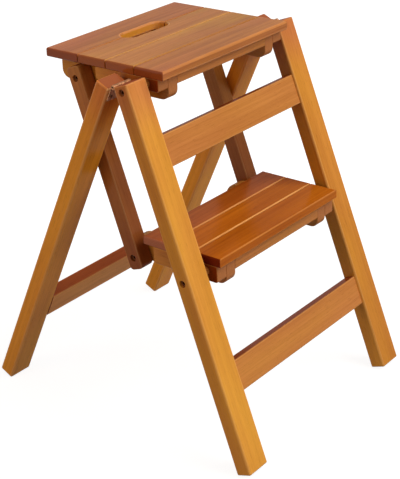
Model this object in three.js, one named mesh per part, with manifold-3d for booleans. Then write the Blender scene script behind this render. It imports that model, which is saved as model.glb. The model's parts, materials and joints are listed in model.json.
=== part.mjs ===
// Folding step stool chair in varnished wood. A seat and a step hang between two leaning front legs, and
// side links tie them together so that both tilt up at once. A rear frame is hinged to the front legs' tops.
// Millimetres, +Z up, +X across the stool, -Y the side that is climbed.
// The origin lies on the floor under the middle of the open stool. Left is the -X side.
import * as THREE from "three";
import { mergeVertices } from "three/addons/utils/BufferGeometryUtils.js";
import Module from "manifold-3d";

const wasm = await Module();
wasm.setup();

// Overall sizes of the open stool
const overallWidth = 428;
const seatHeight = 600;
const stepHeightShare = 8 / 15;
const frontLeanDegrees = 19.6;
const rearLeanDegrees = 25.4;

// Legs: square-sawn bars with eased long edges
const legWidth = 45;
const legDepth = 27;
const legEase = 2.5;
const frontLegAbovePivot = 10.5;
const rearLegBelowPin = 5.7;

// Rails between the legs, placed along the legs from the feet, the upper one from the seat's pivot
const railThickness = 18;
const railSetback = 3.5;
const railEase = 2;
const lowerRailUp = 116.5;
const lowerRailHeight = 49;
const upperRailBelowPivot = 131.5;
const upperRailHeight = 51;
const rearRailUp = 130;
const rearRailHeight = 45;
const rearRailThickness = 22.5;

// Pivots under the seat's and the step's tops, and the pivots of the links behind them
const seatPivotDepth = 23.2;
const stepPivotDepth = 25.8;
const linkReach = 144;
const linkDropDegrees = 6.6;

// Lanes across the stool, from the legs inwards
const legToLinkGap = 5;
const linkThickness = 27;
const linkToBattenGap = 2;
const battenThickness = 22;
const blockThickness = 23;

// Links: straight bars with rounded ends
const linkDepth = 27;
const linkOverhang = 19.5;
const linkCorner = 7;

// Slats of the seat and of the step
const slatThickness = 15;
const slatGap = 1.5;
const slatCorner = 2.5;
const slatEase = 1.8;
const seatToLegGap = 8;
const seatDepth = 242.9;
const seatNose = 36;
const seatFrontSlatWidth = 56.9;
const seatFrontSlats = 3;
const stepToLegGap = 9;
const stepDepth = 152.2;
const stepNose = 29.5;
const stepFrontSlatWidth = 50.6;
const stepRearSlats = 2;

// Hand-hole on the seam in front of the rear seat slat
const handHoleLength = 101;
const handHoleWidth = 32;

// Battens under the slats, with side blocks and a front rail, and under the seat a rail behind the hand-hole
const battenHeight = 40;
const battenCorner = 15;
const battenHeelCorner = 12;
const seatBattenNose = 24;
const seatBattenRear = 199.5;
const stepBattenNose = 22.3;
const stepBattenHeel = 27.3;
const seatBlockHeight = 20.5;
const stepBlockHeight = 27.5;
const blockRear = 104.6;
const blockCorner = 4;
const seatFrontRailHeight = 18;
const stepFrontRailHeight = 21.3;
const frontRailThickness = 14;
const frontRailEase = 1.5;
const rearRailBehindHole = 1.5;

// Stop rod between the rear legs, on which the seat battens hook with shallow notches
const rodRadius = 8;
const rodSetIn = 11.5;
const notchDepth = 6;
const notchRampDegrees = 33;

// Pivot bolts with heads sunk into the wood
const boltRadius = 4;
const boltHeadRadius = 5.2;
const boltHeadHeight = 5;
const boltSocketRadius = 2.5;
const boltSocketDepth = 3;
const sinkRadius = 5.6;
const sinkDepth = 9;
const boltHoleRadius = 4.3;
const nutSides = 6;
const nutAcrossFlats = 13;
const nutThickness = 6.5;
const boltTail = 1.5;
const bushRadius = 7.5;
const washerRadius = 11;

// Butt hinges between the front and the rear legs
const hingeLength = 38;
const hingeLeafDrop = 28;
const hingeLeafThickness = 1.8;
const hingePinStandOff = 4;
const hingePinDepth = 19.3;
const hingeKnuckleRadius = 3.6;
const hingeMiddleKnuckle = 13.4;
const hingePinRadius = 1.5;
const hingeBoreRadius = 1.8;
const hingeScrewRadius = 3;
const hingeScrewHeight = 1;
const hingeScrewInset = 7;

// Clearance of pieces that turn or rest on each other, and how far a cutter runs past what it cuts
const gap = 0.3;
const overrun = 2;

// Facets of round forms
const roundSegments = 20;
const cornerSegments = 2;
const slatBevelSegments = 2;
const screwSegments = 10;
const notchSegments = 5;
const heelSegments = 4;

// Angles in radians
const frontLean = THREE.MathUtils.degToRad(frontLeanDegrees);
const rearLean = THREE.MathUtils.degToRad(rearLeanDegrees);
const linkDrop = THREE.MathUtils.degToRad(linkDropDegrees);
const notchRamp = THREE.MathUtils.degToRad(notchRampDegrees);
const quarterTurn = Math.PI / 2;

// Lanes as distances from the middle of the stool
const legOuter = overallWidth / 2;
const legInner = legOuter - legWidth;
const legMiddle = legOuter - legWidth / 2;
const linkOuter = legInner - legToLinkGap;
const linkInner = linkOuter - linkThickness;
const battenOuter = linkInner - linkToBattenGap;
const battenInner = battenOuter - battenThickness;
const blockOuter = battenOuter + blockThickness;
const seatLength = 2 * (legInner - seatToLegGap);
const stepLength = 2 * (legInner - stepToLegGap);

// The legs' facing sides would meet at a ridge above the hinge pin, which stands off both of them alike
const pinBelowRidge = hingePinStandOff / Math.tan((frontLean + rearLean) / 2);
const pinHeight = seatHeight - hingePinDepth;
const ridgeHeight = pinHeight + pinBelowRidge * Math.cos(frontLean) + hingePinStandOff * Math.sin(frontLean);
const pinUpFrontLeg = ridgeHeight / Math.cos(frontLean) - pinBelowRidge;
const pinUpRearLeg = ridgeHeight / Math.cos(rearLean) - pinBelowRidge;
const footSpread = ridgeHeight * (Math.tan(frontLean) + Math.tan(rearLean));

// Floor lines of the feet, set so that the origin is in the middle of the whole depth
const footDifference = legDepth * (Math.cos(frontLean) - Math.cos(rearLean));
const frontFootY = -(footSpread - footDifference) / 2;
const rearFootY = (footSpread + footDifference) / 2;

// A place given in a front leg's own directions: along it from the foot, and behind its rear face
function onFrontLeg(up, behind) {
  const y = frontFootY + up * Math.sin(frontLean) + behind * Math.cos(frontLean);
  const z = up * Math.cos(frontLean) - behind * Math.sin(frontLean);
  return new THREE.Vector2(y, z);
}

// A place given in a rear leg's own directions: along it from the foot, and behind its front face
function onRearLeg(up, behind) {
  const y = rearFootY - up * Math.sin(rearLean) + behind * Math.cos(rearLean);
  const z = up * Math.cos(rearLean) + behind * Math.sin(rearLean);
  return new THREE.Vector2(y, z);
}

// How far up the front leg's middle line a height lies
function upFrontLeg(height) {
  return (height - (legDepth / 2) * Math.sin(frontLean)) / Math.cos(frontLean);
}

// Pivots in the side view, as (y, z)
const stepHeight = seatHeight * stepHeightShare;
const seatPivotUp = upFrontLeg(seatHeight - seatPivotDepth);
const stepPivotUp = upFrontLeg(stepHeight - stepPivotDepth);
const seatPivot = onFrontLeg(seatPivotUp, -legDepth / 2);
const stepPivot = onFrontLeg(stepPivotUp, -legDepth / 2);
const linkArm = new THREE.Vector2(linkReach * Math.cos(linkDrop), -linkReach * Math.sin(linkDrop));
const linkSpan = seatPivotUp - stepPivotUp;
const lowerLinkPivot = stepPivot.clone().add(linkArm);

// Ends of the legs and the place of the upper rail
const frontLegLength = seatPivotUp + frontLegAbovePivot;
const rearLegLength = pinUpRearLeg - rearLegBelowPin;
const upperRailUp = seatPivotUp - upperRailBelowPivot;

// The seam that the hand-hole lies on, measured from the seat's pivot
const seatSlatPitch = seatFrontSlatWidth + slatGap;
const handHoleSeam = -seatNose + seatFrontSlats * seatSlatPitch - slatGap / 2;

// Levels of the undersides of the slats, measured from the pivots of the seat and of the step
const seatUnderside = seatPivotDepth - slatThickness;
const stepUnderside = stepPivotDepth - slatThickness;

// The rod's top lies in the notch, just under its roof
const battenBottomHeight = seatHeight - slatThickness - battenHeight;
const rodHeight = battenBottomHeight + notchDepth - gap - rodRadius;
const rodUp = (rodHeight - rodSetIn * Math.sin(rearLean)) / Math.cos(rearLean);

// Plain materials that stand for the finishes
function woodMaterial(color, roughness) {
  return new THREE.MeshStandardMaterial({ color, roughness, metalness: 0 });
}
const legWood = woodMaterial(0xd9913f, 0.4);
const railWood = woodMaterial(0xd08a3c, 0.4);
const slatWood = woodMaterial(0x9c5f38, 0.38);
const battenWood = woodMaterial(0xb87538, 0.45);
const linkWood = woodMaterial(0xa8703c, 0.42);
const steel = new THREE.MeshStandardMaterial({ color: 0x3d3a38, roughness: 0.4, metalness: 0.9 });
const brass = new THREE.MeshStandardMaterial({ color: 0xb08d4a, roughness: 0.35, metalness: 0.9 });

// A closed geometry as a solid that can be cut and joined
function toSolid(geometry) {
  const plain = geometry.index ? geometry.toNonIndexed() : geometry.clone();
  plain.deleteAttribute("normal");
  plain.deleteAttribute("uv");
  const merged = mergeVertices(plain);
  const vertProperties = new Float32Array(merged.attributes.position.array);
  const triVerts = new Uint32Array(merged.index.array);
  return new wasm.Manifold(new wasm.Mesh({ numProp: 3, vertProperties, triVerts }));
}

// A solid as a geometry with flat faces
function toGeometry(solid) {
  const cut = solid.getMesh();
  const geometry = new THREE.BufferGeometry();
  geometry.setAttribute("position", new THREE.BufferAttribute(cut.vertProperties, 3));
  geometry.setIndex(new THREE.BufferAttribute(cut.triVerts, 1));
  const faceted = geometry.toNonIndexed();
  faceted.computeVertexNormals();
  return faceted;
}

// Geometry with the cutters taken away and the additions joined on
function shaped(geometry, cutters, additions = []) {
  let solid = toSolid(geometry);
  for (const addition of additions) {
    solid = solid.add(toSolid(addition));
  }
  for (const cutter of cutters) {
    solid = solid.subtract(toSolid(cutter));
  }
  return toGeometry(solid);
}

// A side-view outline, drawn in y and z, pulled along X from one place to another
function acrossStool(outline, fromX, toX, curveSegments = cornerSegments) {
  const low = Math.min(fromX, toX);
  const depth = Math.abs(toX - fromX);
  const options = { depth, bevelEnabled: false, curveSegments };
  const geometry = new THREE.ExtrudeGeometry(outline, options);
  const yAxis = new THREE.Vector3(0, 1, 0);
  const zAxis = new THREE.Vector3(0, 0, 1);
  const xAxis = new THREE.Vector3(1, 0, 0);
  geometry.applyMatrix4(new THREE.Matrix4().makeBasis(yAxis, zAxis, xAxis));
  return geometry.translate(low, 0, 0);
}

// A round bar along X between two places, centred on (y, z)
function roundBar(radius, fromX, toX, centre) {
  const length = Math.abs(toX - fromX);
  const bar = new THREE.CylinderGeometry(radius, radius, length, roundSegments);
  bar.rotateZ(quarterTurn);
  return bar.translate((fromX + toX) / 2, centre.x, centre.y);
}

// A rectangle with four rounded corners
function roundedRectangle(left, bottom, right, top, radius) {
  const outline = new THREE.Shape();
  outline.moveTo(left + radius, bottom);
  outline.absarc(right - radius, bottom + radius, radius, -quarterTurn, 0);
  outline.absarc(right - radius, top - radius, radius, 0, quarterTurn);
  outline.absarc(left + radius, top - radius, radius, quarterTurn, 2 * quarterTurn);
  outline.absarc(left + radius, bottom + radius, radius, 2 * quarterTurn, 3 * quarterTurn);
  return outline;
}

// A bar standing on the floor end of its own frame, with eased long edges
function squareBar(middleX, front, rear, length) {
  const left = middleX - legWidth / 2;
  const outline = roundedRectangle(left, front, left + legWidth, rear, legEase);
  const options = { depth: length, bevelEnabled: false, curveSegments: cornerSegments };
  return new THREE.ExtrudeGeometry(outline, options);
}

// A rail across the stool with eased long edges
function railAcross(front, bottom, thickness, height, halfLength, ease) {
  const outline = roundedRectangle(front, bottom, front + thickness, bottom + height, ease);
  return acrossStool(outline, -halfLength, halfLength);
}

// Cutters for a bolt that runs along X, with a sink for its head on the outer side
function boltCutters(side, outer, inner, centre) {
  const hole = roundBar(boltHoleRadius, side * (outer + overrun), side * (inner - overrun), centre);
  const sink = roundBar(sinkRadius, side * (outer + overrun), side * (outer - sinkDepth), centre);
  return [hole, sink];
}

// A socket-head bolt that sits at the bottom of its sink and ends past its nut
function pivotBolt(side, outer, centre) {
  const seat = outer - sinkDepth + gap;
  const headTop = seat + boltHeadHeight;
  const tail = battenInner - gap - nutThickness - boltTail;
  const shank = roundBar(boltRadius, side * seat, side * tail, centre);
  const head = roundBar(boltHeadRadius, side * headTop, side * seat, centre);
  const socket = roundBar(boltSocketRadius, side * (headTop + overrun), side * (headTop - boltSocketDepth), centre);
  return shaped(head, [socket], [shank]);
}

// A six-sided nut on the inner side of the batten
function nut(side, centre) {
  const radius = nutAcrossFlats / 2 / Math.cos(Math.PI / nutSides);
  const near = battenInner - gap;
  const body = new THREE.CylinderGeometry(radius, radius, nutThickness, nutSides);
  body.rotateZ(quarterTurn);
  body.translate(side * (near - nutThickness / 2), centre.x, centre.y);
  const hole = roundBar(boltHoleRadius, side * (near + overrun), side * (near - nutThickness - overrun), centre);
  return shaped(body, [hole]);
}

// A ring along X, such as a bush or a washer
function ring(radius, side, outer, inner, centre) {
  const body = roundBar(radius, side * outer, side * inner, centre);
  const hole = roundBar(boltHoleRadius, side * (outer + overrun), side * (inner - overrun), centre);
  return shaped(body, [hole]);
}

function addPiece(parent, name, geometry, material) {
  const piece = new THREE.Mesh(geometry, material);
  piece.name = name;
  parent.add(piece);
}

// A slat lying flat, with all its edges rounded over, between two places in depth
function slatOutline(halfLength, front, rear) {
  return roundedRectangle(-halfLength, front, halfLength, rear, slatCorner);
}

function slat(outline, top) {
  const geometry = new THREE.ExtrudeGeometry(outline, {
    depth: slatThickness - 2 * slatEase,
    bevelEnabled: true,
    bevelThickness: slatEase,
    bevelSize: slatEase,
    bevelOffset: -slatEase,
    bevelSegments: slatBevelSegments,
    curveSegments: cornerSegments,
  });
  return geometry.translate(0, 0, top - slatThickness + slatEase);
}

// The front legs and their rails, in the legs' own leaning frame
function buildFrontFrame() {
  const frame = new THREE.Group();
  frame.position.set(0, frontFootY, 0);
  frame.rotation.x = -frontLean;
  const seatCentre = new THREE.Vector2(-legDepth / 2, seatPivotUp);
  const stepCentre = new THREE.Vector2(-legDepth / 2, stepPivotUp);
  for (const [sideName, side] of sides) {
    const bar = squareBar(side * legMiddle, -legDepth, 0, frontLegLength);
    const seatHoles = boltCutters(side, legOuter, legInner, seatCentre);
    const stepHoles = boltCutters(side, legOuter, legInner, stepCentre);
    addPiece(frame, `front_leg_${sideName}`, shaped(bar, [...seatHoles, ...stepHoles]), legWood);
    for (const [pivotName, centre] of [["seat", seatCentre], ["step", stepCentre]]) {
      const bush = ring(bushRadius, side, legInner, blockOuter + gap, centre);
      addPiece(frame, `${pivotName}_pivot_bolt_${sideName}`, pivotBolt(side, legOuter, centre), steel);
      addPiece(frame, `${pivotName}_pivot_nut_${sideName}`, nut(side, centre), steel);
      addPiece(frame, `${pivotName}_pivot_bush_${sideName}`, bush, battenWood);
    }
    addPiece(frame, `hinge_leaf_front_${sideName}`, frontHingeLeaf(side), brass);
  }
  const front = -legDepth + railSetback;
  const lower = railAcross(front, lowerRailUp, railThickness, lowerRailHeight, legInner, railEase);
  const upper = railAcross(front, upperRailUp, railThickness, upperRailHeight, legInner, railEase);
  addPiece(frame, "front_rail_lower", lower, railWood);
  addPiece(frame, "front_rail_upper", upper, railWood);
  return frame;
}

// The rear legs, their rail and the stop rod, in the legs' own leaning frame
function buildRearFrame() {
  const frame = new THREE.Group();
  frame.position.set(0, rearFootY, 0);
  frame.rotation.x = rearLean;
  for (const [sideName, side] of sides) {
    addPiece(frame, `rear_leg_${sideName}`, squareBar(side * legMiddle, 0, legDepth, rearLegLength), legWood);
    addPiece(frame, `hinge_leaf_rear_${sideName}`, rearHingeLeaf(side), brass);
  }
  const rail = railAcross(0, rearRailUp, rearRailThickness, rearRailHeight, legInner, railEase);
  addPiece(frame, "rear_rail", rail, railWood);
  const rod = roundBar(rodRadius, -legInner, legInner, new THREE.Vector2(rodSetIn, rodUp));
  addPiece(frame, "seat_stop_rod", rod, battenWood);
  return frame;
}

// Places of a leaf's three screws: two in a row below, one above between them
function leafScrews(side, face, outward, pinUp) {
  const low = pinUp - hingeLeafDrop + hingeScrewInset;
  const high = low + hingeLeafDrop / 2 - hingeScrewRadius;
  const sideways = hingeLength / 2 - hingeScrewInset;
  const places = [[-sideways, low], [sideways, low], [0, high]];
  return places.map(([across, up]) => {
    const head = new THREE.CylinderGeometry(hingeScrewRadius, hingeScrewRadius, hingeScrewHeight, screwSegments);
    return head.translate(side * legMiddle + across, face + outward * (hingeScrewHeight / 2), up);
  });
}

// The front leaf carries the middle knuckle and the pin
function frontHingeLeaf(side) {
  const middle = side * legMiddle;
  const pinCentre = new THREE.Vector2(hingePinStandOff, pinUpFrontLeg);
  const plateTop = pinUpFrontLeg - hingeKnuckleRadius - 2 * gap;
  const plateBottom = pinUpFrontLeg - hingeLeafDrop;
  const face = gap + hingeLeafThickness;
  const plate = new THREE.BoxGeometry(hingeLength, hingeLeafThickness, plateTop - plateBottom);
  plate.translate(middle, gap + hingeLeafThickness / 2, (plateTop + plateBottom) / 2);
  const tab = new THREE.BoxGeometry(hingeMiddleKnuckle, hingeLeafThickness, pinUpFrontLeg - plateBottom);
  tab.translate(middle, gap + hingeLeafThickness / 2, (pinUpFrontLeg + plateBottom) / 2);
  const halfKnuckle = hingeMiddleKnuckle / 2;
  const knuckle = roundBar(hingeKnuckleRadius, middle - halfKnuckle, middle + halfKnuckle, pinCentre);
  const pin = roundBar(hingePinRadius, middle - hingeLength / 2, middle + hingeLength / 2, pinCentre);
  return shaped(plate, [], [tab, knuckle, pin, ...leafScrews(side, face, 1, pinUpFrontLeg)]);
}

// The rear leaf carries the two outer knuckles
function rearHingeLeaf(side) {
  const middle = side * legMiddle;
  const pinCentre = new THREE.Vector2(-hingePinStandOff, pinUpRearLeg);
  const plateBottom = pinUpRearLeg - hingeLeafDrop;
  const face = -gap - hingeLeafThickness;
  const plate = new THREE.BoxGeometry(hingeLength, hingeLeafThickness, pinUpRearLeg - plateBottom);
  plate.translate(middle, -gap - hingeLeafThickness / 2, (pinUpRearLeg + plateBottom) / 2);
  const knuckle = roundBar(hingeKnuckleRadius, middle - hingeLength / 2, middle + hingeLength / 2, pinCentre);
  const reliefWidth = hingeMiddleKnuckle + 2 * gap;
  const reliefHalf = hingeKnuckleRadius + 2 * gap;
  const relief = new THREE.BoxGeometry(reliefWidth, 2 * reliefHalf + legDepth, 2 * reliefHalf);
  relief.translate(middle, -hingePinStandOff, pinUpRearLeg);
  const bore = roundBar(hingeBoreRadius, middle - hingeLength, middle + hingeLength, pinCentre);
  return shaped(plate, [relief, bore], [knuckle, ...leafScrews(side, face, -1, pinUpRearLeg)]);
}

// The seat's four slats, the rear two of them bitten for the hand-hole
function addSeatSlats(group) {
  const half = seatLength / 2;
  const rear = seatDepth - seatNose;
  for (let i = 0; i < seatFrontSlats; i += 1) {
    const front = -seatNose + i * seatSlatPitch;
    const isBitten = i === seatFrontSlats - 1;
    const outline = isBitten
      ? bittenBehind(half, front, front + seatFrontSlatWidth, handHoleSeam)
      : slatOutline(half, front, front + seatFrontSlatWidth);
    addPiece(group, `seat_slat_${i + 1}`, slat(outline, seatPivotDepth), slatWood);
  }
  const lastFront = handHoleSeam + slatGap / 2;
  const lastOutline = bittenInFront(half, lastFront, rear, handHoleSeam);
  addPiece(group, `seat_slat_${seatFrontSlats + 1}`, slat(lastOutline, seatPivotDepth), slatWood);
}

// The angle at which the hand-hole's round ends cross the edge of a slat
function biteAngle() {
  return Math.asin(slatGap / handHoleWidth);
}

// A slat whose rear edge holds the front half of the hand-hole
function bittenBehind(half, front, rear, seam) {
  const radius = handHoleWidth / 2;
  const straight = handHoleLength / 2 - radius;
  const start = -biteAngle();
  const outline = new THREE.Shape();
  outline.moveTo(-half + slatCorner, front);
  outline.absarc(half - slatCorner, front + slatCorner, slatCorner, -quarterTurn, 0);
  outline.absarc(half - slatCorner, rear - slatCorner, slatCorner, 0, quarterTurn);
  outline.absarc(straight, seam, radius, start, -quarterTurn, true);
  outline.absarc(-straight, seam, radius, -quarterTurn, -2 * quarterTurn - start, true);
  outline.absarc(-half + slatCorner, rear - slatCorner, slatCorner, quarterTurn, 2 * quarterTurn);
  outline.absarc(-half + slatCorner, front + slatCorner, slatCorner, 2 * quarterTurn, 3 * quarterTurn);
  return outline;
}

// A slat whose front edge holds the rear half of the hand-hole
function bittenInFront(half, front, rear, seam) {
  const radius = handHoleWidth / 2;
  const straight = handHoleLength / 2 - radius;
  const start = biteAngle();
  const outline = new THREE.Shape();
  outline.moveTo(half - slatCorner, rear);
  outline.absarc(-half + slatCorner, rear - slatCorner, slatCorner, quarterTurn, 2 * quarterTurn);
  outline.absarc(-half + slatCorner, front + slatCorner, slatCorner, 2 * quarterTurn, 3 * quarterTurn);
  outline.absarc(-straight, seam, radius, 2 * quarterTurn - start, quarterTurn, true);
  outline.absarc(straight, seam, radius, quarterTurn, start, true);
  outline.absarc(half - slatCorner, front + slatCorner, slatCorner, -quarterTurn, 0);
  outline.absarc(half - slatCorner, rear - slatCorner, slatCorner, 0, quarterTurn);
  return outline;
}

function addStepSlats(group) {
  const half = stepLength / 2;
  const rearWidth = (stepDepth - stepFrontSlatWidth - stepRearSlats * slatGap) / stepRearSlats;
  let front = -stepNose;
  for (let i = 0; i <= stepRearSlats; i += 1) {
    const width = i === 0 ? stepFrontSlatWidth : rearWidth;
    addPiece(group, `step_slat_${i + 1}`, slat(slatOutline(half, front, front + width), stepPivotDepth), slatWood);
    front += width + slatGap;
  }
}

// The side block that holds the batten off the leg, from the nose to just ahead of the link
function sideBlock(side, nose, underside, height) {
  const bottom = underside - height;
  const outline = new THREE.Shape();
  outline.moveTo(-nose, underside);
  outline.lineTo(-nose, bottom + blockCorner);
  outline.absarc(-nose + blockCorner, bottom + blockCorner, blockCorner, 2 * quarterTurn, 3 * quarterTurn);
  outline.absarc(blockRear - blockCorner, bottom + blockCorner, blockCorner, 3 * quarterTurn, 4 * quarterTurn);
  outline.lineTo(blockRear, underside);
  const body = acrossStool(outline, side * blockOuter, side * battenOuter);
  const hole = roundBar(boltHoleRadius, side * (blockOuter + overrun), side * battenInner, origin);
  return shaped(body, [hole]);
}

// The seat batten: rounded lower corners and a notch that hooks over the stop rod
function seatBatten(side) {
  const bottom = seatUnderside - battenHeight;
  const outline = new THREE.Shape();
  outline.moveTo(-seatBattenNose, seatUnderside);
  outline.lineTo(-seatBattenNose, bottom + battenCorner);
  const low = bottom + battenCorner;
  outline.absarc(-seatBattenNose + battenCorner, low, battenCorner, 2 * quarterTurn, 3 * quarterTurn);
  outline.absarc(seatBattenRear - battenCorner, low, battenCorner, 3 * quarterTurn, 4 * quarterTurn);
  outline.lineTo(seatBattenRear, seatUnderside);
  const body = acrossStool(outline, side * battenOuter, side * battenInner);
  return shaped(body, [
    pivotHole(side, origin),
    pivotHole(side, linkArm),
    rodNotch(side, bottom),
  ]);
}

// The notch follows the rod's top and rear, and runs out in a ramp towards the front
function rodNotch(side, bottom) {
  const rod = onRearLeg(rodUp, rodSetIn).sub(seatPivot);
  const radius = rodRadius + gap;
  const floor = bottom - rodRadius;
  const rampAngle = quarterTurn + notchRamp;
  const rampTop = new THREE.Vector2(rod.x + radius * Math.cos(rampAngle), rod.y + radius * Math.sin(rampAngle));
  const outline = new THREE.Shape();
  outline.moveTo(rod.x + radius, floor);
  outline.absarc(rod.x, rod.y, radius, 0, rampAngle);
  outline.lineTo(rampTop.x - (rampTop.y - floor) / Math.tan(notchRamp), floor);
  return acrossStool(outline, side * (battenOuter + overrun), side * (battenInner - overrun), notchSegments);
}

function pivotHole(side, centre) {
  return roundBar(boltHoleRadius, side * (battenOuter + overrun), side * (battenInner - overrun), centre);
}

// The step batten: it runs on behind the slats to a round heel about the link's pivot
function stepBatten(side) {
  const bottom = stepUnderside - battenHeight;
  const rear = linkArm.x + stepBattenHeel;
  const low = bottom + battenCorner;
  const outline = new THREE.Shape();
  outline.moveTo(-stepBattenNose, stepUnderside);
  outline.lineTo(-stepBattenNose, low);
  outline.absarc(-stepBattenNose + battenCorner, low, battenCorner, 2 * quarterTurn, 3 * quarterTurn);
  const heelLow = bottom + battenHeelCorner;
  outline.absarc(rear - battenHeelCorner, heelLow, battenHeelCorner, 3 * quarterTurn, 4 * quarterTurn);
  outline.absarc(linkArm.x, linkArm.y, stepBattenHeel, 0, quarterTurn);
  outline.lineTo(stepDepth - stepNose, stepUnderside);
  const body = acrossStool(outline, side * battenOuter, side * battenInner, heelSegments);
  return shaped(body, [pivotHole(side, origin), pivotHole(side, linkArm)]);
}

// A tread's carriers: two battens, two side blocks, a front rail and the link bolts
function addCarriers(group, name, sizes) {
  for (const [sideName, side] of sides) {
    addPiece(group, `${name}_batten_${sideName}`, sizes.batten(side), battenWood);
    const block = sideBlock(side, sizes.nose, sizes.underside, sizes.blockHeight);
    addPiece(group, `${name}_block_${sideName}`, block, battenWood);
    addPiece(group, `${name}_link_bolt_${sideName}`, pivotBolt(side, linkOuter, linkArm), steel);
    addPiece(group, `${name}_link_nut_${sideName}`, nut(side, linkArm), steel);
    const washer = ring(washerRadius, side, linkInner - gap, battenOuter + gap, linkArm);
    addPiece(group, `${name}_link_washer_${sideName}`, washer, steel);
  }
  const bottom = sizes.underside - sizes.railHeight;
  const rail = railAcross(-sizes.nose, bottom, frontRailThickness, sizes.railHeight, battenInner, frontRailEase);
  addPiece(group, `${name}_front_rail`, rail, battenWood);
}

function buildSeat() {
  const group = new THREE.Group();
  group.position.set(0, seatPivot.x, seatPivot.y);
  addSeatSlats(group);
  addCarriers(group, "seat", {
    batten: seatBatten,
    nose: seatBattenNose,
    underside: seatUnderside,
    blockHeight: seatBlockHeight,
    railHeight: seatFrontRailHeight,
  });
  const front = handHoleSeam + handHoleWidth / 2 + rearRailBehindHole;
  const bottom = seatUnderside - seatFrontRailHeight;
  const rail = railAcross(front, bottom, frontRailThickness, seatFrontRailHeight, battenInner, frontRailEase);
  addPiece(group, "seat_rear_rail", rail, battenWood);
  return group;
}

function buildStep() {
  const group = new THREE.Group();
  group.position.set(0, stepPivot.x, stepPivot.y);
  addStepSlats(group);
  addCarriers(group, "step", {
    batten: stepBatten,
    nose: stepBattenNose,
    underside: stepUnderside,
    blockHeight: stepBlockHeight,
    railHeight: stepFrontRailHeight,
  });
  return group;
}

// The links lie parallel to the front legs, between the lower and the upper link pivots
function buildLinks() {
  const group = new THREE.Group();
  group.position.set(0, lowerLinkPivot.x, lowerLinkPivot.y);
  group.rotation.x = -frontLean;
  const half = linkDepth / 2;
  const upperCentre = new THREE.Vector2(0, linkSpan);
  for (const [sideName, side] of sides) {
    const outline = roundedRectangle(-half, -linkOverhang, half, linkSpan + linkOverhang, linkCorner);
    const body = acrossStool(outline, side * linkOuter, side * linkInner);
    const lowerCut = boltCutters(side, linkOuter, linkInner, origin);
    const upperCut = boltCutters(side, linkOuter, linkInner, upperCentre);
    addPiece(group, `link_${sideName}`, shaped(body, [...lowerCut, ...upperCut]), linkWood);
  }
  return group;
}

const origin = new THREE.Vector2(0, 0);
const sides = [["left", -1], ["right", 1]];
const stool = new THREE.Group();
stool.add(buildFrontFrame(), buildRearFrame(), buildSeat(), buildStep(), buildLinks());

export default stool;
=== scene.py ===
# A folding step stool chair in varnished wood: legs, rails, seat, step, links, bolts and hinges.
# Metres, +X across the stool, -Y the side that is climbed, +Z up. Left is the -X side.
import json
import math
import random

import bmesh
import bpy
from mathutils import Matrix, Vector


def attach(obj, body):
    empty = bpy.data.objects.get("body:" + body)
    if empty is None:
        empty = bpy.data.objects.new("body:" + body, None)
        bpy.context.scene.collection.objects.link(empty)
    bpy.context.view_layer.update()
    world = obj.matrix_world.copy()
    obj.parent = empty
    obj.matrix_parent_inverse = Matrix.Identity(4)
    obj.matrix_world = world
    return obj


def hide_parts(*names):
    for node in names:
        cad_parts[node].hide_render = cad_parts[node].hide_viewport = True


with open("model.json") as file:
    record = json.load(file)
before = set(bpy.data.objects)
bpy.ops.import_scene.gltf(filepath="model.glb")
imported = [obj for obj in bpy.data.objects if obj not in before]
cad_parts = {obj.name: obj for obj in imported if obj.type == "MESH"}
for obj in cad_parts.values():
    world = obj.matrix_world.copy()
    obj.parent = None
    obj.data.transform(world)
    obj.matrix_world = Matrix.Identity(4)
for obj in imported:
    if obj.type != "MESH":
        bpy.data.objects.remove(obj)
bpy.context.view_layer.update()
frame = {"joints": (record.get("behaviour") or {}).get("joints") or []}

# Camera
# It stands off the stool's front left corner and looks down on it, with a little roll, as in the
# photograph. The shift keeps the upright picture's own crop, with the lens's middle high up.
camera_azimuth = math.radians(-50.57)
camera_elevation = math.radians(16.71)
camera_roll = math.radians(-2.4236)
camera_place = Vector((-1.59836, -1.34096, 1.22125))

camera_back = Vector((
    math.sin(camera_azimuth) * math.cos(camera_elevation),
    -math.cos(camera_azimuth) * math.cos(camera_elevation),
    math.sin(camera_elevation),
))
level_right = Vector((math.cos(camera_azimuth), math.sin(camera_azimuth), 0))
level_up = camera_back.cross(level_right)
camera_right = level_right * math.cos(camera_roll) + level_up * math.sin(camera_roll)
camera_up = level_up * math.cos(camera_roll) - level_right * math.sin(camera_roll)
camera_turn = Matrix((camera_right, camera_up, camera_back)).transposed().to_4x4()


def in_scene(name, data):
    """A new object in the scene."""
    thing = bpy.data.objects.new(name, data)
    bpy.context.scene.collection.objects.link(thing)
    return thing


camera_lens = bpy.data.cameras.new("photographer")
camera_lens.lens = 101.51
camera_lens.shift_x = 0.0064
camera_lens.shift_y = -0.4180
camera = in_scene("photographer", camera_lens)
camera.matrix_world = Matrix.Translation(camera_place) @ camera_turn
bpy.context.scene.camera = camera

# Front legs
# Two square-sawn bars of honey-coloured wood with eased edges, which lean back from the floor to
# the seat. Each is bored for the seat's and the step's pivot bolts, with wide sinks on the
# outside in which the bolt heads lie.
mm = 0.001
front_lean = math.radians(19.6)
leg_width = 45 * mm
leg_depth = 27 * mm
leg_ease = 3.5 * mm
leg_middle = 191.5 * mm
leg_outer = leg_middle + leg_width / 2
leg_inner = leg_middle - leg_width / 2
bolt_line = -leg_depth / 2
seat_bolt_up = 607.47 * mm
front_leg_length = seat_bolt_up + 10.5 * mm
hole_radius = 4.3 * mm
sink_radius = 5.6 * mm
sink_depth = 9 * mm
overrun = 2 * mm
sharp_corner = math.radians(35)
crease = math.radians(38)
square_on = 0.7
sides = (("left", -1), ("right", 1))

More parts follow.
